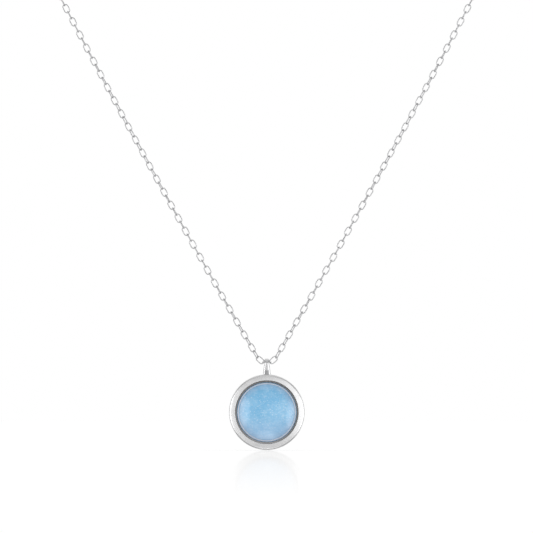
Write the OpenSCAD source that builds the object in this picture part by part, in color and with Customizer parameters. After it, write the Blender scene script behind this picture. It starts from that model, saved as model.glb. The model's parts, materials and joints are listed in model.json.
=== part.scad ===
// Pendant necklace: a round cabochon in a plain rim, on a fine trace chain with a bolt ring.
// Millimetres, +Z up, the front towards -Y, as it hangs on a neck.
// The origin is the middle of the neck, level with the chain behind it.

/* [Stone] */
// Diameter of the cabochon
stone_d = 12; // [8:0.5:18]
// Height of the cabochon's upright edge
girdle_h = 1.0; // [0.6:0.1:2]
// Height of the dome over that edge
dome_h = 1.3; // [0.6:0.1:2.5]
// Gap between the stone and the rim, all round
stone_gap = 0.35; // [0.1:0.05:0.6]
// Thickness of the cement under the stone
cement_t = 0.15; // [0.1:0.05:0.3]

/* [Rim] */
// Width of the rim's band, seen from the front
rim_w = 1.2; // [0.8:0.1:2.5]
// Depth of the rim, front to back
rim_depth = 2.8; // [2.4:0.1:4]
// Rounding of the rim's front edges
rim_round = 0.3; // [0.1:0.05:0.38]
// Thickness of the back plate
back_t = 0.5; // [0.3:0.1:0.8]

/* [Bail] */
// Room in the bail's hole on each side of the link
bail_room = 0.11; // [0.11:0.01:0.4]
// Thickness of the bail's band
bail_t = 0.3; // [0.25:0.05:0.4]
// Length of the middle link left bare on each side of the band
bail_end_room = 0.54; // [0.5:0.02:0.7]
// Width of the band where it stands on the rim
bail_foot_w = 1.44; // [1:0.02:2.4]
// Distance from the chain's middle link down to the rim
bail_drop = 2.45; // [2.2:0.05:4]

/* [Chain] */
// Length of a link over its ends
link_l = 1.96; // [1.8:0.02:2.6]
// Width of a link
link_w = 1.28; // [1.2:0.02:1.6]
// Diameter of the wire
wire_d = 0.22; // [0.16:0.02:0.26]
// Slack left between one link and the next
link_slack = 0.03; // [0.02:0.01:0.06]
// Links in each section of each front strand, an even number
section_links = 16; // [8:2:20]
// Links on each side of the neck, an odd number
neck_links = 85; // [75:2:111]

/* [Hanging shape] */
// Slope of a front strand where it leaves the bail, rise over run
strand_slope = 1.718; // [1.2:0.05:2.4]
// Pull along the strands, as the length of chain that weighs as much
strand_pull = 366; // [200:10:600]
// Angle of the link beside the bail, above the horizontal
first_link_tilt = 42; // [30:1:50]
// Mean turn of the front links about the strand
turn_mean = 14; // [0:1:20]
// Slow wander of that turn along the strand
turn_wander = 9; // [0:1:12]
// Links from one end of the wander to the other and back
turn_period = 36; // [20:2:60]

/* [Bolt ring] */
// Radius of the bolt ring, to the middle of its tube
bolt_r = 2.2; // [2:0.1:3]
// Diameter of its tube
tube_d = 1.3; // [1.1:0.05:1.5]
// Bore of its tube
bore_d = 0.9; // [0.7:0.05:1]
// Angle where the mouth starts, from the end ring towards the top
mouth_start = 18; // [14:1:22]
// Angle that the mouth is wide
mouth_angle = 54; // [40:1:60]
// Angle that the tongue reaches into the tube beyond the mouth
tongue_seat = 8; // [6:1:10]
// Angle of the tongue that stays in the tube behind the mouth
tongue_tail = 58; // [50:1:64]
// Travel of the tongue
tongue_travel = 60; // [45:1:64]
// Angle from the mouth back to the thumb knob
knob_back = 20; // [16:1:24]
// Diameter of the thumb knob's stem
stem_d = 0.44; // [0.3:0.02:0.5]
// Diameter of the thumb knob
knob_d = 0.8; // [0.6:0.05:1]
// Angle kept for the spring when it is squeezed
spring_room = 60; // [50:1:70]
// Wire of the spring in the tube
spring_wire_d = 0.12; // [0.08:0.01:0.14]
// Turns of that spring
spring_turns = 12; // [8:1:14]

/* [Rings] */
// Wire of the end ring that the bolt ring catches
end_ring_wire = 0.6; // [0.4:0.05:0.65]
// Radius of the end ring, to the middle of its wire
end_ring_r = 1.4; // [1.3:0.05:1.8]
// Wire of the jump ring and the eye on the other side
jump_wire = 0.5; // [0.4:0.05:0.55]
// Radius of the jump ring, to the middle of its wire
jump_r = 1.0; // [0.9:0.05:1.4]
// Radius of the eye, to the middle of its wire
eye_r = 0.8; // [0.75:0.05:1]
// Depth that the eye's wire is sunk into the tube
eye_sink = 0.15; // [0.1:0.01:0.2]

/* [Clearances] */
// Gap between the bail and the link that it hangs on
bail_run = 0.02; // [0.01:0.01:0.05]
// Gap all round the tongue in its tube
tongue_run = 0.06; // [0.03:0.01:0.1]
// Gap between rings that hang in each other
ring_run = 0.05; // [0.03:0.01:0.1]
// Angle left free past the tongue's tip and at each end of the spring
end_run = 3; // [2:1:5]

/* [Hidden] */
$fn = 64;
wire_fn = 36;
cut_over = 1; // how far a cut runs past what it cuts

// pendant
aperture_r = stone_d / 2 + stone_gap;
rim_r = aperture_r + rim_w;
stone_back = rim_depth / 2 - back_t - cement_t;
dome_r = (stone_d * stone_d / 4 + dome_h * dome_h) / (2 * dome_h);

// link: two half rings of wire and two straight sides
bend_r = (link_w - wire_d) / 2;
side_l = link_l - link_w;
pitch = link_l - 2 * wire_d - link_slack;
eye_to_eye = link_l - wire_d;

// bail, and the height of the middle link over the centre of its round top
bail_hole_r = link_w / 2 + bail_room;
bail_w = link_l - 2 * bail_end_room;
bail_seat_r = bail_hole_r - bail_run - wire_d / 2;
bail_seat_z = sqrt(bail_seat_r * bail_seat_r - bend_r * bend_r);

// the strand from the middle link: link 1 is tilted by hand and the rest hang in a catenary
first_span = 2 * pitch - eye_to_eye;
start_tilt = atan(strand_slope);
start_x = eye_to_eye / 2 + first_span * cos(first_link_tilt) + eye_to_eye / 2 * cos(start_tilt);
start_z = first_span * sin(first_link_tilt) + eye_to_eye / 2 * sin(start_tilt);
strand_links = 4 * section_links - 1;
last_link = strand_links + neck_links;

function asinh(v) = ln(v + sqrt(v * v + 1));
function slope_at(s) = s / strand_pull + strand_slope;
function strand_x(s) = start_x + strand_pull * (asinh(slope_at(s)) - asinh(strand_slope));
function strand_z(s) = start_z
    + strand_pull * (sqrt(1 + pow(slope_at(s), 2)) - sqrt(1 + pow(strand_slope, 2)));
function lean_at(s) = atan(1 / slope_at(s));

strand_s = (strand_links - 2) * pitch;
top_x = strand_x(strand_s);
top_z = strand_z(strand_s);
top_lean = lean_at(strand_s);

// closure behind the neck: how far each piece sits from the bolt ring's centre
end_ring_x = bolt_r - tube_d / 2 - ring_run - end_ring_wire / 2 + end_ring_r;
right_end = end_ring_x + end_ring_r - end_ring_wire / 2 - link_slack - wire_d + link_l / 2;
eye_x = bolt_r + tube_d / 2 + eye_r - eye_sink;
jump_x = eye_x + eye_r - jump_wire - ring_run + jump_r;
left_end = jump_x + jump_r - jump_wire / 2 - link_slack - wire_d + link_l / 2;
closure_half = (left_end + right_end) / 2;
bolt_x = left_end - closure_half;

// each side of the neck: a quarter turn over the shoulder, then a quarter turn behind
side_s = neck_links * pitch;
shoulder_r = (side_s * 2 / PI - top_x + closure_half) / (1 + sin(top_lean));
nape_r = top_x + shoulder_r * sin(top_lean) - closure_half;
shoulder_s = shoulder_r * PI / 2;
front_y = -shoulder_r;
bail_z = -(shoulder_r * cos(top_lean) + top_z);
pendant_z = bail_z - bail_drop - rim_r;
bail_centre_z = bail_z - bail_seat_z;

// bolt ring angles, from the end ring's side over the top
tube_start = mouth_start + mouth_angle;
tongue_start = mouth_start - tongue_seat;
tongue_end = tube_start + tongue_tail;
knob_angle = tube_start + knob_back;
knob_reach = tube_d / 2 + knob_d / 2 + tongue_run;
bore_end = tongue_end + tongue_travel + spring_room;
spring_r = bore_d / 2 - tongue_run - spring_wire_d / 2;
slot_past = asin((stem_d / 2 + tongue_run) / (bolt_r + bore_d / 2)); // slot, past the stem's middle

silver = [0.80, 0.80, 0.82];

// ---- chain ----

// One link, long along Z and flat in XZ
module link() {
    for (end = [0, 180])
        rotate([0, end, 0]) translate([0, 0, side_l / 2]) rotate([90, 0, 0])
            rotate_extrude(angle = 180) translate([bend_r, 0]) circle(d = wire_d, $fn = wire_fn);
    for (side = [-1, 1])
        translate([side * bend_r, 0, 0]) cylinder(d = wire_d, h = side_l, center = true, $fn = wire_fn);
}

// Turn of link k about its strand: neighbours are square to each other
function square_turn(k) = k % 2 == 0 ? 90 : 0;
function front_turn(k) = turn_mean + turn_wander * cos(360 * k / turn_period);
// the last link behind the neck stands upright in the rings
function neck_turn(k) = let (u = (k - strand_links) / neck_links)
    front_turn(strand_links) * (1 - u) - top_lean * u;

// Puts its child at link k of the right-hand side
module at_link(k) {
    s = (k - 2) * pitch;
    over = s - strand_s;
    if (k == 1)
        translate([eye_to_eye / 2 + first_span / 2 * cos(first_link_tilt), front_y,
                   bail_z + first_span / 2 * sin(first_link_tilt)])
            rotate([0, 90 - first_link_tilt, 0]) rotate([0, 0, front_turn(k)]) children();
    else if (k <= strand_links)
        translate([strand_x(s), front_y, bail_z + strand_z(s)])
            rotate([0, lean_at(s), 0]) rotate([0, 0, square_turn(k) + front_turn(k)]) children();
    else if (over <= shoulder_s)
        translate([top_x, front_y, bail_z + top_z]) rotate([0, top_lean, 0])
            translate([0, shoulder_r * (1 - cos(90 * over / shoulder_s)),
                       shoulder_r * sin(90 * over / shoulder_s)])
                rotate([-90 * over / shoulder_s, 0, 0])
                    rotate([0, 0, square_turn(k) + neck_turn(k)]) children();
    else
        translate([closure_half, 0, 0]) rotate([0, 0, (over - shoulder_s) / nape_r * 180 / PI])
            translate([nape_r, 0, 0]) rotate([0, top_lean, 0]) rotate([-90, 0, 0])
                rotate([0, 0, square_turn(k) + neck_turn(k)]) children();
}

module links(first, last) {
    for (k = [first : last]) at_link(k) link();
}

module on_side(side) {
    if (side == "left") mirror([1, 0, 0]) children();
    else children();
}

// Section n of a front strand, counted up from the pendant
module strand(n, side) {
    color(silver) on_side(side) links(max(1, (n - 1) * section_links), n * section_links - 1);
}

module neck(side) {
    color(silver) on_side(side) links(strand_links + 1, last_link);
}

module bail_link() {
    color(silver) translate([0, front_y, bail_z]) rotate([0, 90, 0]) rotate([0, 0, 90]) link();
}

// ---- pendant ----

// Puts its child, which faces +Z, into the pendant, facing the front
module in_pendant() {
    translate([0, front_y, pendant_z]) rotate([90, 0, 0]) children();
}

module bezel_rim() {
    color(silver) in_pendant() rotate_extrude() translate([aperture_r, -rim_depth / 2]) {
        square([rim_w, rim_depth - rim_round]);
        translate([rim_round, 0]) square([rim_w - 2 * rim_round, rim_depth]);
        for (x = [rim_round, rim_w - rim_round])
            translate([x, rim_depth - rim_round]) circle(r = rim_round);
    }
}

module back_plate() {
    color(silver) in_pendant() translate([0, 0, -rim_depth / 2]) cylinder(r = aperture_r, h = back_t);
}

module stone_cement() {
    color("dimgray") in_pendant() translate([0, 0, -stone_back - cement_t])
        cylinder(d = stone_d - 2 * stone_gap, h = cement_t);
}

module cabochon() {
    color([0.55, 0.75, 0.89]) in_pendant() translate([0, 0, -stone_back]) intersection() {
        cylinder(d = stone_d, h = girdle_h + dome_h + cut_over);
        translate([0, 0, girdle_h + dome_h - dome_r]) sphere(r = dome_r, $fn = 180);
    }
}

// Band over the chain, with a half-round top and two legs that widen down to the rim
module bail() {
    leg = bail_drop - bail_seat_z;
    outer_r = bail_hole_r + bail_t;
    color(silver) translate([0, front_y, bail_centre_z]) difference() {
        union() {
            intersection() {
                rotate([0, 90, 0]) cylinder(r = outer_r, h = bail_w, center = true);
                translate([0, 0, outer_r]) cube(2 * outer_r, center = true);
            }
            rotate([90, 0, 0]) linear_extrude(height = 2 * outer_r, center = true)
                polygon([[-bail_w / 2, 0], [-bail_foot_w / 2, -leg], [-bail_foot_w / 2, -leg - bail_t],
                         [bail_foot_w / 2, -leg - bail_t], [bail_foot_w / 2, -leg], [bail_w / 2, 0]]);
        }
        rotate([0, 90, 0]) cylinder(r = bail_hole_r, h = bail_foot_w + cut_over, center = true);
        translate([0, 0, -leg - rim_r]) {
            translate([-bail_foot_w / 2 - cut_over, -bail_hole_r, 0])
                cube([bail_foot_w + 2 * cut_over, 2 * bail_hole_r, leg + rim_r]);
            rotate([90, 0, 0]) cylinder(r = rim_r, h = rim_depth + cut_over, center = true);
        }
    }
}

// ---- closure behind the neck ----

// Puts its child, a ring about Z that starts at +X, upright behind the neck, centred at x
module behind_neck(x) {
    translate([x, nape_r, 0]) rotate([90, 0, 0]) children();
}

module ring(r, wire) {
    rotate_extrude() translate([r, 0]) circle(d = wire, $fn = wire_fn);
}

// Part of a ring of round bar, from one angle to another
module bar_arc(from, to, d) {
    rotate_extrude(angle = to - from, start = from) translate([bolt_r, 0]) circle(d = d, $fn = wire_fn);
}

module clasp_body() {
    color(silver) behind_neck(bolt_x) difference() {
        union() {
            bar_arc(tube_start, 360 + mouth_start, tube_d);
            translate([-eye_x, 0, 0]) ring(eye_r, jump_wire);
        }
        bar_arc(tube_start - cut_over, bore_end, bore_d);
        bar_arc(tongue_start - end_run, mouth_start + cut_over, bore_d);
        // slot for the knob's stem
        rotate_extrude(angle = tongue_travel + 2 * slot_past, start = knob_angle - slot_past)
            translate([bolt_r, -stem_d / 2 - tongue_run]) square([tube_d, stem_d + 2 * tongue_run]);
    }
}

module clasp_tongue() {
    color(silver) behind_neck(bolt_x) {
        bar_arc(tongue_start, tongue_end, bore_d - 2 * tongue_run);
        rotate([0, 0, knob_angle]) translate([bolt_r, 0, 0]) {
            rotate([0, 90, 0]) cylinder(d = stem_d, h = knob_reach);
            translate([knob_reach, 0, 0]) sphere(d = knob_d);
        }
    }
}

// Coil that lies along the tube behind the tongue
module clasp_spring() {
    sides = 6;
    steps = 12 * spring_turns;
    from = tongue_end + end_run;
    to = bore_end - end_run;
    rings = [for (i = [0 : steps]) let (
        a = from + (to - from) * i / steps,
        turn = 360 * spring_turns * i / steps,
        out = [cos(a), sin(a), 0],
        along = [-sin(a), cos(a), 0],
        coil = out * cos(turn) + [0, 0, sin(turn)],
        middle = out * bolt_r + coil * spring_r
    ) [for (j = [0 : sides - 1])
        middle + spring_wire_d / 2 * (coil * cos(360 * j / sides) + along * sin(360 * j / sides))]];
    color("gray") behind_neck(bolt_x) tube_through(rings, sides);
}

// Closed skin through rings of points
module tube_through(rings, sides) {
    n = len(rings);
    polyhedron(
        points = [for (r = rings) each r],
        faces = concat(
            [[for (j = [0 : sides - 1]) j]],
            [for (i = [0 : n - 2], j = [0 : sides - 1])
                [i * sides + j, (i + 1) * sides + j,
                 (i + 1) * sides + (j + 1) % sides, i * sides + (j + 1) % sides]],
            [[for (j = [sides - 1 : -1 : 0]) (n - 1) * sides + j]]
        )
    );
}

module clasp_jump_ring() {
    color(silver) translate([bolt_x - jump_x, nape_r, 0]) ring(jump_r, jump_wire);
}

module end_ring() {
    color(silver) translate([bolt_x + end_ring_x, nape_r, 0]) ring(end_ring_r, end_ring_wire);
}

bezel_rim();
back_plate();
stone_cement();
cabochon();
bail();
bail_link();
strand(1, "left");  // strand_1_left
strand(1, "right");  // strand_1_right
strand(2, "left");  // strand_2_left
strand(2, "right");  // strand_2_right
strand(3, "left");  // strand_3_left
strand(3, "right");  // strand_3_right
strand(4, "left");  // strand_4_left
strand(4, "right");  // strand_4_right
neck("left");  // neck_left
neck("right");  // neck_right
clasp_body();
clasp_tongue();
clasp_spring();
clasp_jump_ring();
end_ring();
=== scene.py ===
import json
import math

import bmesh
import bpy
import numpy as np
from mathutils import Matrix, Vector


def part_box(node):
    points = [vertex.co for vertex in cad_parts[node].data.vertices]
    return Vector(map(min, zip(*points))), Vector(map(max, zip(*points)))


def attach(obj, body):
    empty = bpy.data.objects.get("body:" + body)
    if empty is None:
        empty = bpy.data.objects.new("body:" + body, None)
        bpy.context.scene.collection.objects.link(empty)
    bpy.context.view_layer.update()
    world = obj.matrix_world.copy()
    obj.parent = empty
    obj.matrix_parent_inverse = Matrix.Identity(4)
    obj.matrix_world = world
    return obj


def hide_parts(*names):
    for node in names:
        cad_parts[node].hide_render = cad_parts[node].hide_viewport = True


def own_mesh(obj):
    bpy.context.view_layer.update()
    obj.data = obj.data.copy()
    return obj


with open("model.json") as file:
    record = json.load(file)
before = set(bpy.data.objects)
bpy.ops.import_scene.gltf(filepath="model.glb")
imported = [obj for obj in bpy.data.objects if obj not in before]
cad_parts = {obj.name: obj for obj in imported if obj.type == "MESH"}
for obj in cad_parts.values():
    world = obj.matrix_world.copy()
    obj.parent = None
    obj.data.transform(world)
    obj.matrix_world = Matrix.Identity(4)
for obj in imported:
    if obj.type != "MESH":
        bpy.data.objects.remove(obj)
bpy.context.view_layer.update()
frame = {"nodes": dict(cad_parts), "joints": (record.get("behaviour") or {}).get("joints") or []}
mm = 0.001

# ---------------------------------------------------------------- rim
# The rim is a turned silver ring, about 15 mm across, with a flat front that is rounded over
# at both edges and brought to a soft satin with fine abrasive. Its inner wall carries painted shade, dark
# grey for the shadow deep in the gap beside the stone.

rim_low, rim_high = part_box("bezel_rim")
pendant_at = (rim_low + rim_high) / 2
rim_radius = (rim_high.x - rim_low.x) / 2
rim_depth = rim_high.y - rim_low.y
rim_band = 1.2 * mm
aperture = rim_radius - rim_band


def rounded(corners, steps=6):
    """Outline through corners in order, each (across, up, radius), with an arc at each corner."""
    outline = []
    count = len(corners)
    for n, (x, y, radius) in enumerate(corners):
        here = Vector((x, y))
        back = (Vector(corners[n - 1][:2]) - here).normalized()
        on = (Vector(corners[(n + 1) % count][:2]) - here).normalized()
        half = math.acos(max(-1.0, min(1.0, back.dot(on)))) / 2
        if radius == 0 or half > math.radians(89):
            outline.append(here)
            continue
        middle = here + (back + on).normalized() * radius / math.sin(half)
        first = here + back * radius / math.tan(half) - middle
        last = here + on * radius / math.tan(half) - middle
        turn = first.angle_signed(last)
        for k in range(steps + 1):
            arm = first.copy()
            arm.rotate(Matrix.Rotation(-turn * k / steps, 2))
            outline.append(middle + arm)
    return [tuple(p) for p in outline]


def piece(name, points, faces, material=None):
    """A smooth-shaded object from points and faces, with its normals turned outwards."""
    mesh = bpy.data.meshes.new(name)
    mesh.from_pydata([tuple(p) for p in points], [], faces)
    work = bmesh.new()
    work.from_mesh(mesh)
    bmesh.ops.remove_doubles(work, verts=work.verts, dist=1e-8)
    bmesh.ops.recalc_face_normals(work, faces=work.faces)
    work.to_mesh(mesh)
    work.free()
    mesh.polygons.foreach_set("use_smooth", [True] * len(mesh.polygons))
    made = bpy.data.objects.new(name, mesh)
    bpy.context.scene.collection.objects.link(made)
    if material:
        mesh.materials.append(material)
    return made


def turned(name, outline, material, turns=192, closed=True):
    """Turns an outline of (radius, forward) about the pendant's axis, which points to the front."""
    points, faces = [], []
    count = len(outline)
    for t in range(turns):
        angle = 2 * math.pi * t / turns
        for radius, forward in outline:
            arm = Vector((radius * math.cos(angle), -forward, radius * math.sin(angle)))
            points.append(pendant_at + arm)
    for t in range(turns):
        for n in range(count if closed else count - 1):
            a, b = t * count + n, t * count + (n + 1) % count
            c, d = (t + 1) % turns * count + (n + 1) % count, (t + 1) % turns * count + n
            faces.append((a, b, c, d))
    return piece(name, points, faces, material)


class Flow:
    """An output of a node tree. Arithmetic on it adds Math nodes, and make adds any other node."""

    def __init__(self, tree, socket=None):
        self.tree = tree
        self.socket = socket

    def make(self, kind, settings=None, inputs=None, output=0):
        node = self.tree.nodes.new(kind)
        for name, value in (settings or {}).items():
            setattr(node, name, value)
        for key, value in (inputs or {}).items():
            if isinstance(value, Flow):
                self.tree.links.new(value.socket, node.inputs[key])
            else:
                node.inputs[key].default_value = value
        return Flow(self.tree, node.outputs[output])

    def math(self, operation, *values):
        return self.make("ShaderNodeMath", {"operation": operation}, dict(enumerate(values)))

    def __add__(self, other):
        return self.math("ADD", self, other)

    def __sub__(self, other):
        return self.math("SUBTRACT", self, other)

    def __rsub__(self, other):
        return self.math("SUBTRACT", other, self)

    def __mul__(self, other):
        return self.math("MULTIPLY", self, other)

    def __truediv__(self, other):
        return self.math("DIVIDE", self, other)

    __radd__ = __add__
    __rmul__ = __mul__

    def axis(self, number):
        """One component of this vector: 0 for x, 1 for y, 2 for z."""
        return self.make("ShaderNodeSeparateXYZ", None, {0: self}, output=number)

    def ramp(self, low, high, to_low=0.0, to_high=1.0):
        """Smooth change from one value to another as this one goes from low to high."""
        return self.make("ShaderNodeMapRange", {"interpolation_type": "SMOOTHSTEP"},
                         {0: self, 1: low, 2: high, 3: to_low, 4: to_high})

    def noise(self, size, detail=3.0, roughness=0.5):
        """Noise on this vector, with blobs of about that size in metres."""
        return self.make("ShaderNodeTexNoise", None, {"Vector": self, "Scale": 1 / size,
                                                      "Detail": detail, "Roughness": roughness})

    def mix(self, low, high):
        """Colour between low and high by this value."""
        return self.make("ShaderNodeMix", {"data_type": "RGBA"}, {0: self, 6: low, 7: high}, output=2)


def finish_of(name, **fixed):
    """A material with fixed values on its shader, with its Object coordinates and that shader."""
    material = bpy.data.materials.new(name)
    material.use_nodes = True
    tree = material.node_tree
    shader = tree.nodes["Principled BSDF"]
    for key, value in fixed.items():
        shader.inputs[key.replace("_", " ")].default_value = value
    place = Flow(tree).make("ShaderNodeTexCoord", output=3)
    return material, place, shader


def feed(shader, **flows):
    """Links flows to the shader's sockets by name."""
    for key, flow in flows.items():
        flow.tree.links.new(flow.socket, shader.inputs[key.replace("_", " ")])


def bumped(height, depth):
    """Normal from a height of 0 to 1 that stands for that depth in metres."""
    return height.make("ShaderNodeBump", None, {"Strength": 1.0, "Distance": depth, "Height": height})


def off_axis(place):
    """Distance from the pendant's axis, and depth in front of its middle."""
    local = place.make("ShaderNodeVectorMath", {"operation": "SUBTRACT"}, {0: place, 1: pendant_at})
    flat = local.make("ShaderNodeVectorMath", {"operation": "MULTIPLY"}, {0: local, 1: (1, 0, 1)})
    distance = flat.make("ShaderNodeVectorMath", {"operation": "LENGTH"}, {0: flat}, output=1)
    return distance, local.axis(1) * -1.0


satin_silver, place, shader = finish_of("satin_silver", Metallic=1.0)
grain = place.noise(0.06 * mm, 2.0)
cloud = place.noise(1.5 * mm, 3.0)
distance = off_axis(place)[0]
# Painted shade: the rim's inner wall is painted dark grey, for the shadow deep in the narrow gap beside the
# stone.
painted_wall_shade = distance.ramp(aperture + 0.002 * mm, aperture + 0.03 * mm, 1.0, 0.0)
metal = cloud.ramp(0.3, 0.7).mix((0.80, 0.80, 0.805, 1), (0.87, 0.87, 0.875, 1))
metal = (grain.ramp(0.35, 0.65) * 0.10).mix(metal, (0.70, 0.70, 0.71, 1))
rough_side = distance.ramp(rim_radius - 0.10 * mm, rim_radius, 0.0, 0.22)
feed(shader, Base_Color=painted_wall_shade.mix(metal, (0.43, 0.42, 0.42, 1)),
     Roughness=grain.ramp(0.3, 0.7, 0.20, 0.30) + rough_side, Normal=bumped(grain, 0.001 * mm))

inner_front_round = 0.054 * mm
outer_front_round = 0.42 * mm
inner_back_round = 0.06 * mm
outer_back_round = 0.12 * mm
front_slope = math.radians(8)
front_fall = math.tan(front_slope) * rim_band
half_depth = rim_depth / 2
rim_outline = rounded([(aperture, -half_depth, inner_back_round), (rim_radius, -half_depth, outer_back_round),
                       (rim_radius, half_depth - front_fall, outer_front_round),
                       (aperture, half_depth, inner_front_round)], 10)
rim = turned("rim", rim_outline, satin_silver, turns=256)
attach(rim, "pendant")
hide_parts("bezel_rim")

# ---------------------------------------------------------------- back plate
# The back plate is a disc of silver sheet, 0.5 mm thick, pressed into the back of the rim and
# soldered round its edge. It is brushed one way and carries the stone.

plate_low, plate_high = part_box("back_plate")
plate_back = pendant_at.y - plate_high.y
plate_front = pendant_at.y - plate_low.y

brushed_silver, place, shader = finish_of("brushed_silver", Metallic=1.0)
stretched = place.make("ShaderNodeMapping", None, {"Vector": place, "Scale": (0.04, 1.0, 1.0)})
strokes = stretched.noise(0.05 * mm, 2.0)
tone = strokes.ramp(0.3, 0.7).mix((0.74, 0.74, 0.745, 1), (0.86, 0.86, 0.865, 1))
# Painted shade: the plate's front face, seen only deep in the gap, is painted dark. It is darkest at the top
# and lighter towards the bottom, where light falls in from above.
inside = off_axis(place)[1].ramp(plate_back + 0.1 * mm, plate_back + 0.3 * mm)
plate_height = place.axis(2) - pendant_at.z
painted_gap_shade = plate_height.ramp(-3.0 * mm, -6.2 * mm).mix((0.40, 0.40, 0.405, 1), (0.64, 0.64, 0.65, 1))
feed(shader, Base_Color=inside.mix(tone, painted_gap_shade), Roughness=strokes.ramp(0.3, 0.7, 0.25, 0.38),
     Normal=bumped(strokes, 0.003 * mm))

seam_groove = 0.05 * mm
plate_radius = aperture - 0.01 * mm
front_round = 0.02 * mm
disc = [(0.0, plate_back)] + [(aperture * n / 12, plate_back) for n in range(1, 12)]
disc += rounded([(plate_radius, plate_back, seam_groove), (plate_radius, plate_front, front_round),
                 (0.0, plate_front, 0), (0.0, plate_back, 0)], 4)[:-2]
disc += [(0.0, plate_front)]
plate = turned("plate", disc, brushed_silver, closed=False)
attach(plate, "pendant")
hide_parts("back_plate")

# ---------------------------------------------------------------- cement
# A thin bed of dark cement holds the stone on the plate. Only its rim can be made out, deep in
# the gap between the stone and the ring.

cement_low, cement_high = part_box("stone_cement")
cement_radius = (cement_high.x - cement_low.x) / 2
cement_back, cement_front = pendant_at.y - cement_high.y, pendant_at.y - cement_low.y

dried_cement, place, shader = finish_of("dried_cement", Roughness=0.85)
lumps = place.noise(0.15 * mm, 4.0)
feed(shader, Base_Color=lumps.ramp(0.3, 0.7).mix((0.20, 0.185, 0.17, 1), (0.34, 0.31, 0.28, 1)),
     Normal=bumped(lumps, 0.02 * mm))

bulge = 0.04 * mm
bed = [(0.0, cement_back)] + [(cement_radius * n / 6, cement_back) for n in range(1, 6)]
bed += [(cement_radius - bulge, cement_back), (cement_radius, (cement_back + cement_front) / 2),
        (cement_radius - bulge, cement_front), (0.0, cement_front)]
cement = turned("cement", bed, dried_cement, turns=96, closed=False)
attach(cement, "pendant")
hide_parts("stone_cement")

# ---------------------------------------------------------------- stone
# The stone is a 12 mm cabochon: an upright girdle, a small rounded shoulder and a low polished
# dome. It is pale sky blue, cloudy inside, with fine whitish flecks that shimmer.

stone_low, stone_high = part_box("cabochon")
stone_radius = (stone_high.x - stone_low.x) / 2
stone_back, stone_top = pendant_at.y - stone_high.y, pendant_at.y - stone_low.y
dome_rise = 1.3 * mm
dome_radius = (stone_radius**2 + dome_rise**2) / (2 * dome_rise)

blue_stone, place, shader = finish_of("blue_stone", Roughness=0.12, IOR=1.54, Coat_Roughness=0.03)
distance = off_axis(place)[0]
cloud = place.noise(2.2 * mm, 4.0, 0.6)
wisp = place.noise(0.7 * mm, 5.0, 0.65)
drawn_out = place.make("ShaderNodeMapping", None, {"Vector": place, "Scale": (0.45, 1.0, 1.0),
                                                   "Rotation": (0, 0.5, 0)})
streak = drawn_out.noise(0.30 * mm, 3.0, 0.55)
fleck = place.noise(0.20 * mm, 1.0, 0.4)
body = cloud.ramp(0.32, 0.68).mix((0.175, 0.475, 0.755, 1), (0.265, 0.555, 0.815, 1))
body = (wisp.ramp(0.50, 0.72) * 0.35).mix(body, (0.42, 0.66, 0.88, 1))
body = (streak.ramp(0.48, 0.34) * 0.35).mix(body, (0.11, 0.42, 0.68, 1))
body = (streak.ramp(0.55, 0.70) * 0.40).mix(body, (0.50, 0.70, 0.88, 1))
body = (fleck.ramp(0.62, 0.72) * 0.55).mix(body, (0.68, 0.82, 0.92, 1))
stone_height = place.axis(2) - pendant_at.z
body = (stone_height.ramp(-0.5 * mm, -3.5 * mm) * 0.42).mix(body, (0.46, 0.64, 0.88, 1))
# Painted light: the stone is painted lighter in a band towards its edge, for the light that the dome's edge
# gathers.
edge_light = distance.ramp(stone_radius - 1.9 * mm, stone_radius - 0.6 * mm)
body = (edge_light * 0.22).mix(body, (0.50, 0.62, 0.86, 1))
# Painted highlight: a thin near-white ring on the stone's shoulder, where the surrounding lights reflect.
highlight_radius = stone_radius - 0.27 * mm
painted_shoulder_highlight = distance.ramp(highlight_radius - 0.18 * mm, highlight_radius - 0.02 * mm)
painted_shoulder_highlight = painted_shoulder_highlight * distance.ramp(highlight_radius + 0.02 * mm, highlight_radius + 0.16 * mm, 1.0, 0.0)
body = painted_shoulder_highlight.mix(body, (0.84, 0.87, 0.97, 1))
# Painted shade: the girdle just outside the highlight ring is painted darker blue.
girdle_shade = distance.ramp(highlight_radius + 0.12 * mm, highlight_radius + 0.22 * mm) * 0.3
body = girdle_shade.mix(body, (0.16, 0.44, 0.66, 1))
feed(shader, Base_Color=body, Roughness=fleck.ramp(0.55, 0.75, 0.10, 0.22),
     Coat_Weight=distance.ramp(stone_radius - 0.32 * mm, stone_radius - 0.16 * mm, 0.6, 0.0))

shoulder_depth = 0.22 * mm
shoulder_width = 0.198 * mm
shoulder_start = math.radians(22)
back_bevel = 0.05 * mm
dome_steps = 40
shoulder_steps = 8
reach = stone_radius - shoulder_width
dome = []
for n in range(dome_steps + 1):
    radius = reach * n / dome_steps
    dome.append((radius, stone_top - dome_radius + math.sqrt(dome_radius**2 - radius**2)))
edge_forward = dome[-1][1]
across_start, up_start = math.sin(shoulder_start), math.cos(shoulder_start)
for n in range(1, shoulder_steps + 1):
    turn = shoulder_start + (math.pi / 2 - shoulder_start) * n / shoulder_steps
    dome.append((reach + shoulder_width * (math.sin(turn) - across_start) / (1 - across_start),
                 edge_forward - shoulder_depth * (up_start - math.cos(turn)) / up_start))
dome += [(stone_radius, stone_back + back_bevel), (stone_radius - back_bevel, stone_back)]
dome += [(stone_radius * n / 6, stone_back) for n in range(5, 0, -1)] + [(0.0, stone_back)]
stone = turned("stone", dome, blue_stone, closed=False)
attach(stone, "pendant")
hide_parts("cabochon")

# ---------------------------------------------------------------- bail
# The bail is a band of polished silver wire of D section, bent to a hoop over the chain, with
# two legs that widen down to the rim, where they are soldered on.

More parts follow.
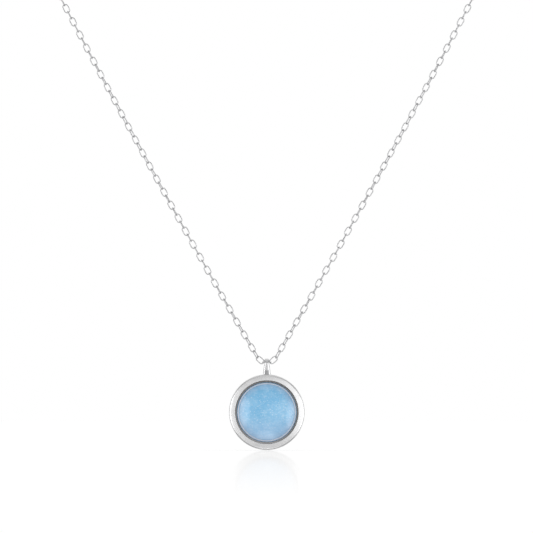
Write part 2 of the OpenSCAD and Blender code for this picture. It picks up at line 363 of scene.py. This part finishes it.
bail_low, bail_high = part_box("bail")
hoop_radius = 0.75 * mm
band = 0.3 * mm
hoop_width = 0.92 * mm
foot_width = (bail_high.x - bail_low.x) * 1.05
hoop_at = Vector((0.0, (bail_low.y + bail_high.y) / 2, bail_high.z - hoop_radius - band))
widening = 0.78
rim_top = pendant_at.z + rim_radius
foot_z = rim_top - 0.12 * mm
widest_z = rim_top + 0.05 * mm

bright_silver, place, shader = finish_of("bright_silver", Metallic=1.0)
scuff = place.noise(0.35 * mm, 4.0)
stroked = place.make("ShaderNodeMapping", None, {"Vector": place, "Scale": (1.0, 1.0, 0.15)})
hairline = stroked.noise(0.04 * mm, 2.0)
above_rim = place.axis(2) - rim_top
off_middle = place.axis(0)
off_middle = off_middle.math("ABSOLUTE", off_middle)
# Painted shade: a dark patch in the middle of the bail's foot, low on the legs where they meet the rim.
painted_foot_shade = above_rim.ramp(0.65 * mm, 0.98 * mm, 0.85, 0.0)
painted_foot_shade = painted_foot_shade * off_middle.ramp(0.40 * mm, 0.52 * mm, 1.0, 0.0)
silver = scuff.ramp(0.3, 0.7).mix((0.66, 0.66, 0.67, 1), (0.76, 0.76, 0.765, 1))
fall = ((hoop_at.z - rim_top) - above_rim) / (hoop_at.z - widest_z)
fall = fall.math("MAXIMUM", fall, 0.0)
half_width = fall.math("POWER", fall, widening) * ((foot_width - hoop_width) / 2) + hoop_width / 2
# Painted shade: the band is darker along its side edges and weaker up on the hoop.
painted_edge_shade = (half_width - off_middle).ramp(0.03 * mm, 0.19 * mm, 0.92, 0.0)
painted_edge_shade = painted_edge_shade * above_rim.ramp(0.0, 0.1 * mm) * above_rim.ramp(1.8 * mm, 2.6 * mm, 1.0, 0.15)
silver = painted_edge_shade.mix(silver, (0.34, 0.34, 0.35, 1))
feed(shader, Base_Color=painted_foot_shade.mix(silver, (0.36, 0.36, 0.37, 1)),
     Roughness=scuff.ramp(0.3, 0.7, 0.18, 0.28), Normal=bumped(hairline, 0.0008 * mm))

fullness = 0.70
face_steps = 24
leg_steps = 13
hoop_steps = 32
section = [(-0.5, 0.0)]
for n in range(1, face_steps):
    turn = math.pi * (1 - n / face_steps)
    across = math.copysign(abs(math.cos(turn)) ** fullness, math.cos(turn)) / 2
    section.append((across, math.sin(turn) ** fullness))
section += [(0.5, 0.0), (0.25, 0.0), (0.0, 0.0), (-0.25, 0.0)]
stations = []
for n in range(leg_steps):
    z = foot_z + (hoop_at.z - foot_z) * n / leg_steps
    stations.append((Vector((0, hoop_at.y - hoop_radius, z)), Vector((0, -1, 0))))
for n in range(hoop_steps + 1):
    angle = math.pi * (1 - n / hoop_steps)
    out = Vector((0, math.cos(angle), math.sin(angle)))
    stations.append((hoop_at + out * hoop_radius, out))
for at, out in reversed(stations[:leg_steps]):
    stations.append((Vector((0, hoop_at.y + hoop_radius, at.z)), Vector((0, 1, 0))))


def sweep(name, rings, material, ends=True):
    """Skin over rings of points, all with the same count, with a cap on both ends or on neither."""
    points, faces = [], []
    count = len(rings[0])
    for ring in rings:
        points.extend(ring)
    for r in range(len(rings) - 1):
        for n in range(count):
            a, b = r * count + n, r * count + (n + 1) % count
            faces.append((a, b, b + count, a + count))
    if ends:
        faces.append(tuple(range(count)))
        faces.append(tuple(range(len(points) - count, len(points))))
    return piece(name, points, faces, material)


rings = []
for at, out in stations:
    down = min(1.0, max(0.0, (hoop_at.z - at.z) / (hoop_at.z - widest_z)))
    width = hoop_width + (foot_width - hoop_width) * down**widening
    rings.append([at + Vector((across * width, 0, 0)) + out * (up * band) for across, up in section])
bail = sweep("bail_band", rings, bright_silver)
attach(bail, "pendant")
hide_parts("bail")

# ---------------------------------------------------------------- chain
# The chain is fine trace chain: oval links of drawn silver wire, just over 0.2 mm thick, each
# looped square through the next and soldered shut. The bail hangs on the middle link.

link_length = 1.96 * mm
link_width = 1.28 * mm
wire = 0.214 * mm

chain_silver, place, shader = finish_of("chain_silver", Metallic=1.0)
wear = place.noise(0.5 * mm, 3.0)
drawn = place.noise(0.07 * mm, 2.0)
feed(shader, Base_Color=wear.ramp(0.3, 0.7).mix((0.56, 0.56, 0.57, 1), (0.68, 0.68, 0.69, 1)),
     Roughness=drawn.ramp(0.3, 0.7, 0.40, 0.52))


def links_in(node):
    """Centre, long way and wide way of every link in a CAD node, from its separate shells."""
    mesh = frame["nodes"][node].data
    grid = 1e-7
    corners = np.zeros(len(mesh.vertices) * 3)
    mesh.vertices.foreach_get("co", corners)
    corners = corners.reshape(-1, 3)
    triangles = np.zeros(len(mesh.loops), int)
    mesh.loops.foreach_get("vertex_index", triangles)
    rounded_off = np.round(corners / grid).astype(np.int64)
    points, merged = np.unique(rounded_off, axis=0, return_inverse=True)
    triangles = merged.ravel()[triangles.reshape(-1, 3)]
    label = np.arange(len(points))
    while True:
        lowest = label[triangles].min(axis=1)
        spread = label.copy()
        for side in range(3):
            np.minimum.at(spread, triangles[:, side], lowest)
        if (spread == label).all():
            break
        label = spread
    found = []
    for one in np.unique(label):
        shell = points[label == one] * grid
        middle = (shell.min(axis=0) + shell.max(axis=0)) / 2
        ways = np.linalg.eigh(np.cov((shell - shell.mean(axis=0)).T))[1]
        found.append((middle, ways[:, 2], ways[:, 1]))
    return found


def link_tree():
    """Node tree that sets an oval wire link on every point, turned by the point's two directions."""
    tree = bpy.data.node_groups.new("wire_links", "GeometryNodeTree")
    face = tree.interface
    face.new_socket("Points", in_out="INPUT", socket_type="NodeSocketGeometry")
    for label, value in (("Link Length", link_length), ("Link Width", link_width), ("Wire", wire)):
        socket = face.new_socket(label, in_out="INPUT", socket_type="NodeSocketFloat")
        socket.default_value = value
    face.new_socket("Finish", in_out="INPUT", socket_type="NodeSocketMaterial")
    face.new_socket("Links", in_out="OUTPUT", socket_type="NodeSocketGeometry")
    entry = tree.nodes.new("NodeGroupInput")
    given = {s.name: Flow(tree, s) for s in entry.outputs if s.name}
    start = Flow(tree)
    loop = start.make("GeometryNodeCurvePrimitiveCircle", None, {"Resolution": 16, "Radius": 1.0})
    at = start.make("GeometryNodeInputPosition")
    half_round = (given["Link Width"] - given["Wire"]) * 0.5
    wide = at.axis(0) * half_round
    y = at.axis(1)
    straight = y.math("SIGN", y) * ((given["Link Length"] - given["Link Width"]) * 0.5)
    long = y * half_round + straight
    oval = start.make("ShaderNodeCombineXYZ", None, {0: wide, 1: 0.0, 2: long})
    loop = start.make("GeometryNodeSetPosition", None, {"Geometry": loop, "Position": oval})
    section = start.make("GeometryNodeCurvePrimitiveCircle", None,
                         {"Resolution": 6, "Radius": given["Wire"] * 0.5})
    link = start.make("GeometryNodeCurveToMesh", None, {"Curve": loop, "Profile Curve": section})
    directions = []
    for label in ("along", "across"):
        directions.append(start.make("GeometryNodeInputNamedAttribute", {"data_type": "FLOAT_VECTOR"},
                                     {"Name": label}))
    turn = start.make("FunctionNodeAxesToRotation", {"primary_axis": "Z", "secondary_axis": "X"},
                      {0: directions[0], 1: directions[1]})
    placed = start.make("GeometryNodeInstanceOnPoints", None,
                        {"Points": given["Points"], "Instance": link, "Rotation": turn})
    real = start.make("GeometryNodeRealizeInstances", None, {"Geometry": placed})
    smooth = start.make("GeometryNodeSetShadeSmooth", None, {0: real})
    done = start.make("GeometryNodeSetMaterial", None, {"Geometry": smooth, "Material": given["Finish"]})
    end = tree.nodes.new("NodeGroupOutput")
    tree.links.new(done.socket, end.inputs[0])
    return tree


def grown(name, mesh, tree, values):
    """The plain mesh that a node tree makes from a starting mesh."""
    seed = bpy.data.objects.new(name + "_seed", mesh)
    bpy.context.scene.collection.objects.link(seed)
    modifier = seed.modifiers.new(tree.name, "NODES")
    modifier.node_group = tree
    for item in tree.interface.items_tree:
        if item.in_out == "INPUT" and item.name in values:
            modifier[item.identifier] = values[item.name]
    now = bpy.context.evaluated_depsgraph_get()
    result = bpy.data.meshes.new_from_object(seed.evaluated_get(now), depsgraph=now)
    bpy.data.objects.remove(seed)
    made = bpy.data.objects.new(name, result)
    bpy.context.scene.collection.objects.link(made)
    return made


wire_links = link_tree()
lengths = {
    "chain_neck": ("neck_chain", ["neck_left", "neck_right"]),
    "chain_top": ("strands_top", ["strand_4_left", "strand_4_right"]),
    "chain_upper": ("strands_upper", ["strand_3_left", "strand_3_right"]),
    "chain_lower": ("strands_lower", ["strand_2_left", "strand_2_right"]),
    "chain_bottom": ("strands_bottom", ["strand_1_left", "strand_1_right", "bail_link"]),
}
for name, (body, nodes) in lengths.items():
    places = [link for node in nodes for link in links_in(node)]
    seeds = bpy.data.meshes.new(name + "_places")
    seeds.from_pydata([tuple(middle) for middle, along, across in places], [], [])
    for label, column in (("along", 1), ("across", 2)):
        directions = seeds.attributes.new(label, "FLOAT_VECTOR", "POINT")
        values = np.array([link[column] for link in places], np.float32)
        directions.data.foreach_set("vector", values.ravel())
    chain = grown(name, seeds, wire_links, {"Finish": chain_silver})
    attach(chain, body)
    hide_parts(*nodes)

# ---------------------------------------------------------------- bolt ring
# The clasp behind the neck is a bolt ring: a hollow ring of 1.3 mm tube with an open mouth, a
# slot for the thumb knob, and a small eye soldered on the far side for the jump ring.

clasp_joint = next(j for j in frame["joints"] if j["name"] == "clasp_trigger")
clasp_at = Vector(clasp_joint["pos_m"])
bolt_radius = 2.2 * mm
tube_radius = 0.65 * mm
tube_wall = 0.2 * mm
mouth_from, mouth_to = 18, 72
slot_from, slot_to = 87, 157
slot_half = 25.5
eye_radius = 0.8 * mm
eye_wire = 0.25 * mm
eye_sink = 0.15 * mm
eye_off = bolt_radius + tube_radius + eye_radius - eye_sink
sideways = Vector((0, 1, 0))


def on_clasp(angle, radius=bolt_radius, side=0.0):
    """Point at an angle round the bolt ring, from the end ring's side over the top."""
    a = math.radians(angle)
    return clasp_at + Vector((radius * math.cos(a), side, radius * math.sin(a)))


arc_step = 4.5
arc_end = mouth_from + 360
arc_steps = [mouth_to + n * arc_step for n in range(math.ceil((arc_end - mouth_to) / arc_step))]
arc_steps = sorted(set(arc_steps + [slot_from, slot_to, arc_end]))
wall_steps = 20
slot_steps = 4
tube_steps = [slot_half + (360 - 2 * slot_half) * n / wall_steps for n in range(wall_steps + 1)]
tube_steps += [-slot_half + 2 * slot_half * n / slot_steps for n in range(1, slot_steps)]
points, faces = [], []
for a in arc_steps:
    for t in tube_steps:
        out = tube_radius * math.cos(math.radians(t))
        points.append(on_clasp(a, bolt_radius + out, tube_radius * math.sin(math.radians(t))))
count = len(tube_steps)
for n in range(len(arc_steps) - 1):
    for t in range(count):
        in_slot = t >= wall_steps and slot_from <= arc_steps[n] < slot_to
        if not in_slot:
            a, b = n * count + t, n * count + (t + 1) % count
            faces.append((a, b, b + count, a + count))
tube = piece("bolt_ring", points, faces, bright_silver)
middle = tube.data.polygons[0]
centre_line = on_clasp((arc_steps[0] + arc_steps[1]) / 2)
if (middle.center - centre_line).dot(middle.normal) < 0:
    tube.data.flip_normals()
wall = tube.modifiers.new("wall", "SOLIDIFY")
wall.thickness = tube_wall
wall.offset = -1.0
edge_bevel = 0.03 * mm
soft = tube.modifiers.new("soft_edges", "BEVEL")
soft.width = edge_bevel
soft.segments = 2
soft.angle_limit = math.radians(50)


def circle(centre, first, second, radius, count=20):
    """Points round a circle that starts on its first direction and turns towards its second."""
    turns = [2 * math.pi * k / count for k in range(count)]
    return [centre + (first * math.cos(turn) + second * math.sin(turn)) * radius for turn in turns]


def hoop(name, centre, radius, wire_radius, normal, material, around=64):
    """A closed ring of round wire."""
    first = normal.orthogonal().normalized()
    second = normal.cross(first)
    rings = []
    for n in range(around + 1):
        turn = 2 * math.pi * n / around
        out = first * math.cos(turn) + second * math.sin(turn)
        rings.append(circle(centre + out * radius, out, normal, wire_radius))
    return sweep(name, rings, material, ends=False)


eye_at = clasp_at - Vector((eye_off, 0, 0))
eye = hoop("bolt_ring_eye", eye_at, eye_radius, eye_wire, sideways, bright_silver)
# The eye is soldered on, so no part of its wire reaches through the wall into the tube.
inside_wall = tube_radius - tube_wall / 2
for vertex in eye.data.vertices:
    flat = vertex.co - clasp_at
    flat.y = 0
    core = clasp_at + flat.normalized() * bolt_radius
    if (vertex.co - core).length < inside_wall:
        vertex.co = core + (vertex.co - core).normalized() * inside_wall
for part, nodes in ((tube, ["clasp_body"]), (eye, [])):
    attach(part, "neck_chain")
    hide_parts(*nodes)

# ---------------------------------------------------------------- tongue
# The tongue is a curved silver rod that closes the mouth. A stem through the slot carries the
# round knob that the thumbnail pulls back.

tongue_from, tongue_to = 10, 130
tongue_radius = 0.39 * mm
knob_angle = 92
stem_radius = 0.22 * mm
knob_radius = 0.4 * mm
knob_room = 0.06 * mm
knob_reach = tube_radius + knob_radius + knob_room
blunt_nose = 0.02 * mm
stem_start = 0.25 * mm
stem_end = knob_reach - knob_radius * 0.85
knob_tip = 0.01 * mm

rings = []
steps = 60
for n in range(steps + 1):
    angle = tongue_from + (tongue_to - tongue_from) * n / steps
    along = math.radians(angle - tongue_from) * bolt_radius
    nose = tongue_radius * math.sqrt(1 - max(0.0, 1 - along / tongue_radius) ** 2)
    core = on_clasp(angle)
    rings.append(circle(core, (core - clasp_at).normalized(), sideways, max(nose, blunt_nose)))
tongue = sweep("tongue_rod", rings, bright_silver)

knob_core = on_clasp(knob_angle)
outward = (knob_core - clasp_at).normalized()
profile = [(0.0, blunt_nose), (stem_start, stem_radius), (stem_end, stem_radius)]
for turn in range(36, 180, 12):
    t = math.radians(turn)
    profile.append((knob_reach - knob_radius * math.cos(t), knob_radius * math.sin(t)))
profile.append((knob_reach + knob_radius, knob_tip))
rings = [circle(knob_core + outward * up, outward.cross(sideways), sideways, size) for up, size in profile]
knob = sweep("thumb_knob", rings, bright_silver)
for part, nodes in ((tongue, ["clasp_tongue"]), (knob, [])):
    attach(part, "tongue")
    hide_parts(*nodes)

# ---------------------------------------------------------------- spring
# A coil of fine steel wire lies in the tube behind the tongue and pushes it shut.

spring_from, spring_to = 133, 247
coil_radius = 0.33 * mm
coil_wire = 0.06 * mm
coil_turns = 12

spring_steel, place, shader = finish_of("spring_steel", Metallic=1.0)
draw_marks = place.noise(0.05 * mm, 2.0)
feed(shader, Base_Color=draw_marks.ramp(0.3, 0.7).mix((0.42, 0.42, 0.43, 1), (0.60, 0.60, 0.61, 1)),
     Roughness=draw_marks.ramp(0.3, 0.7, 0.22, 0.36))

rings = []
steps = coil_turns * 16
for n in range(steps + 1):
    angle = spring_from + (spring_to - spring_from) * n / steps
    turn = 2 * math.pi * coil_turns * n / steps
    core = on_clasp(angle)
    out = (core - clasp_at).normalized()
    coil = out * math.cos(turn) - sideways * math.sin(turn)
    rings.append(circle(core + coil * coil_radius, coil, out.cross(sideways), coil_wire, 8))
spring = sweep("tongue_spring", rings, spring_steel)
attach(spring, "neck_chain")
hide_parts("clasp_spring")
tuple(on_clasp(spring_to))
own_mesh(spring)

# ---------------------------------------------------------------- jump ring and end ring
# Two rings of round silver wire end the chain: a small jump ring in the clasp's eye, and the
# heavier end ring that the clasp catches.

ring_sizes = {"jump_ring": ("clasp_jump_ring", 0.25 * mm), "catch_ring": ("end_ring", 0.3 * mm)}
for name, (node, half_wire) in ring_sizes.items():
    low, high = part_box(node)
    radius = (high.x - low.x) / 2 - half_wire
    ring = hoop(name, (low + high) / 2, radius, half_wire, Vector((0, 0, 1)), bright_silver)
    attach(ring, "neck_chain")
    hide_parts(node)

# ---------------------------------------------------------------- studio
# A white studio: a pale glossy table just under the pendant, a white surround, and a light tent
# with softboxes, which only shows as reflections in the silver and the stone.

scene = bpy.context.scene
scene.view_settings.view_transform = "Standard"
scene.view_settings.look = "None"

world = bpy.data.worlds.new("white_surround")
scene.world = world
world.use_nodes = True
world.node_tree.nodes["Background"].inputs["Color"].default_value = (1, 1, 1, 1)
world.node_tree.nodes["Background"].inputs["Strength"].default_value = 1.0

table_gap = 0.05 * mm
table_z = pendant_at.z - rim_radius - table_gap
table_half = 3
corners = [(x * table_half, y * table_half, table_z) for x, y in ((-1, -1), (1, -1), (1, 1), (-1, 1))]
table = piece("table", corners, [(0, 1, 2, 3)])
glossy_white = bpy.data.materials.new("glossy_white")
glossy_white.use_nodes = True
tree = glossy_white.node_tree
tree.nodes.clear()
place = Flow(tree).make("ShaderNodeTexCoord", output=3)
from_middle = place.axis(0)
depth = place.axis(1)
reflection_fade = 508 * mm
reflection_share = 0.27
table_grey = 0.4
table_lift = 0.61
near = (depth - (pendant_at.y - reflection_fade)) * (reflection_share / reflection_fade)
near = near.math("MAXIMUM", near, 0.0)
near = near * from_middle.math("ABSOLUTE", from_middle).ramp(9 * mm, 25 * mm, 1.0, 0.0)
near = near * depth.ramp(pendant_at.y + 5 * mm, pendant_at.y + 25 * mm, 1.0, 0.0)
matt = place.make("ShaderNodeBsdfDiffuse", None, {"Color": (table_grey, table_grey, table_grey, 1)})
lift = place.make("ShaderNodeEmission", None, {"Color": (1, 1, 1, 1), "Strength": table_lift})
base = place.make("ShaderNodeAddShader", None, {0: matt, 1: lift})
mirror = place.make("ShaderNodeBsdfAnisotropic", None, {"Color": (1, 1, 1, 1), "Roughness": 0.03})
surface = place.make("ShaderNodeMixShader", None, {0: near, 1: base, 2: mirror})
output = tree.nodes.new("ShaderNodeOutputMaterial")
tree.links.new(surface.socket, output.inputs["Surface"])
table.data.materials.append(glossy_white)
table.visible_glossy = False

tent_radius = 1.4
tent_mesh = bpy.data.meshes.new("light_tent")
work = bmesh.new()
bmesh.ops.create_icosphere(work, subdivisions=5, radius=tent_radius)
work.to_mesh(tent_mesh)
work.free()
tent = bpy.data.objects.new("light_tent", tent_mesh)
tent.location = pendant_at
scene.collection.objects.link(tent)
tent_glow = bpy.data.materials.new("tent_glow")
tent_glow.use_nodes = True
tent_glow.node_tree.nodes.clear()
place = Flow(tent_glow.node_tree).make("ShaderNodeTexCoord", output=3)
toward = place.make("ShaderNodeVectorMath", {"operation": "NORMALIZE"}, {0: place})
back_share = toward.axis(1)
height = toward.axis(2)
glow = back_share.ramp(-0.2, 0.6, 0.40, 0.92)
horizon = height.math("ABSOLUTE", height).ramp(0.08, 0.16, 1.0, 0.0) * back_share.ramp(0.3, 0.6)
glow = glow + horizon * 0.08
# Each light has its degrees right of the front and up, its squeeze in width and in height, half
# its size and its brightness, which is below zero for a dark card. The inner part is even.
even_part = 0.4
lights = {
    "front": (0, -4, (0.8, 0.9), 0.75, 0.28),
    "dark_card": (0, 0, (1, 1), 0.32, -0.15),
    "fill_left": (-22, 0, (1, 0.8), 0.40, 0.22),
    "fill_right": (24, 4, (0.8, 1.2), 0.48, 0.62),
    "softbox_left": (-38, 2, (1.0, 0.45), 0.24, 2.2),
    "softbox_right": (41, -6, (1.2, 0.5), 0.26, 2.2),
    "reflector_low": (0, -40, (0.8, 1.3), 0.26, 1.2),
    "wall_left": (-70, 0, (1, 0.6), 0.40, 0.95),
    "wall_right": (68, 0, (1, 0.5), 0.45, 0.70),
    "ceiling": (0, 75, (0.7, 1), 0.60, 0.30),
    "flag_left": (-122, 0, (1, 1.5), 0.55, -0.30),
    "flag_right": (122, 0, (1, 1.5), 0.55, -0.15),
}
for right, up, squeeze, half_size, brightness in lights.values():
    a, e = math.radians(right), math.radians(up)
    spot = (math.sin(a) * math.cos(e), -math.cos(a) * math.cos(e), math.sin(e))
    apart = toward.make("ShaderNodeVectorMath", {"operation": "SUBTRACT"}, {0: toward, 1: spot})
    apart = apart.make("ShaderNodeVectorMath", {"operation": "MULTIPLY"},
                       {0: apart, 1: (squeeze[0], squeeze[0], squeeze[1])})
    apart = apart.make("ShaderNodeVectorMath", {"operation": "LENGTH"}, {0: apart}, output=1)
    glow = glow + apart.ramp(half_size * even_part, half_size, brightness, 0.0)
shine = place.make("ShaderNodeEmission", None, {"Color": (1, 1, 1, 1), "Strength": glow})
output = tent_glow.node_tree.nodes.new("ShaderNodeOutputMaterial")
tent_glow.node_tree.links.new(shine.socket, output.inputs["Surface"])
tent_mesh.materials.append(tent_glow)
tent.visible_camera = False
tent.visible_diffuse = False
tent.visible_transmission = False
tent.visible_shadow = False

view_over_bail = 18.4 * mm
view_height = 106.6 * mm
camera_data = bpy.data.cameras.new("camera")
camera_data.lens = 300
camera_data.sensor_width = 36
away = view_height * camera_data.lens / camera_data.sensor_width
look_up = math.radians(1.9)
view_left = 0.06 * mm
aim = Vector((-view_left, hoop_at.y, bail_high.z + view_over_bail))
back = Vector((0, -math.cos(look_up), -math.sin(look_up)))
camera = bpy.data.objects.new("camera", camera_data)
camera.location = aim + back * away
camera.rotation_euler = (-back).to_track_quat("-Z", "Y").to_euler()
camera_data.clip_start = 0.01
camera_data.clip_end = 10
scene.collection.objects.link(camera)
scene.camera = camera
